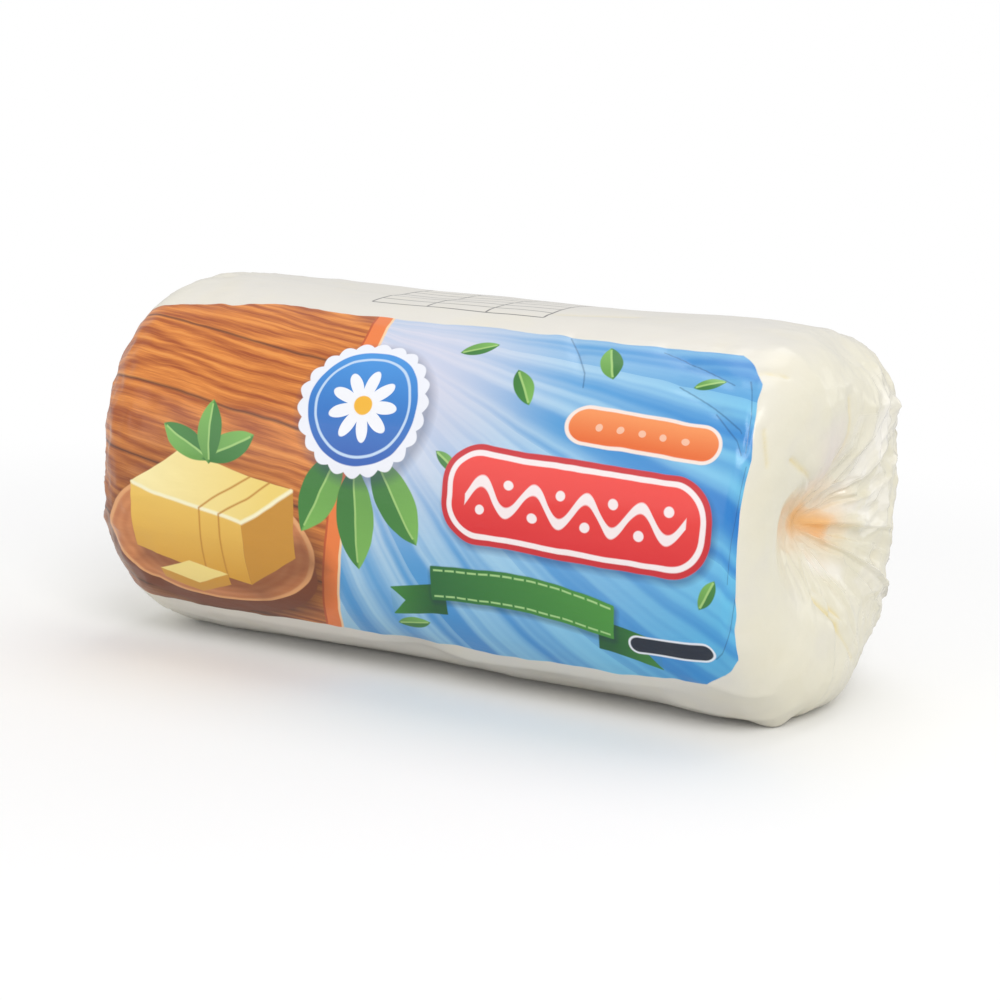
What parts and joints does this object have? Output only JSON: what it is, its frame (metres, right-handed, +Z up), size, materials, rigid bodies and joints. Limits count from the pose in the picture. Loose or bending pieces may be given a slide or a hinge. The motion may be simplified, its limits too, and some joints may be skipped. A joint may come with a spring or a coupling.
{
  "type": "roll of butter",
  "caption": "Roll of butter in a shut film wrapper, a rounded-square log gathered into a pleated dimple at each end.",
  "frame": {"origin": "middle of the underside", "axes": "+X along the roll's axis, +Y from the printed front towards the back, +Z up as it lies"},
  "size_m": [0.177, 0.089, 0.0865],
  "materials": {
    "wrapper": "soft sheen, cream-white film over butter"
  },
  "bodies": {
    "root": {"butter_roll": "wrapper"}
  },
  "joints": []
}
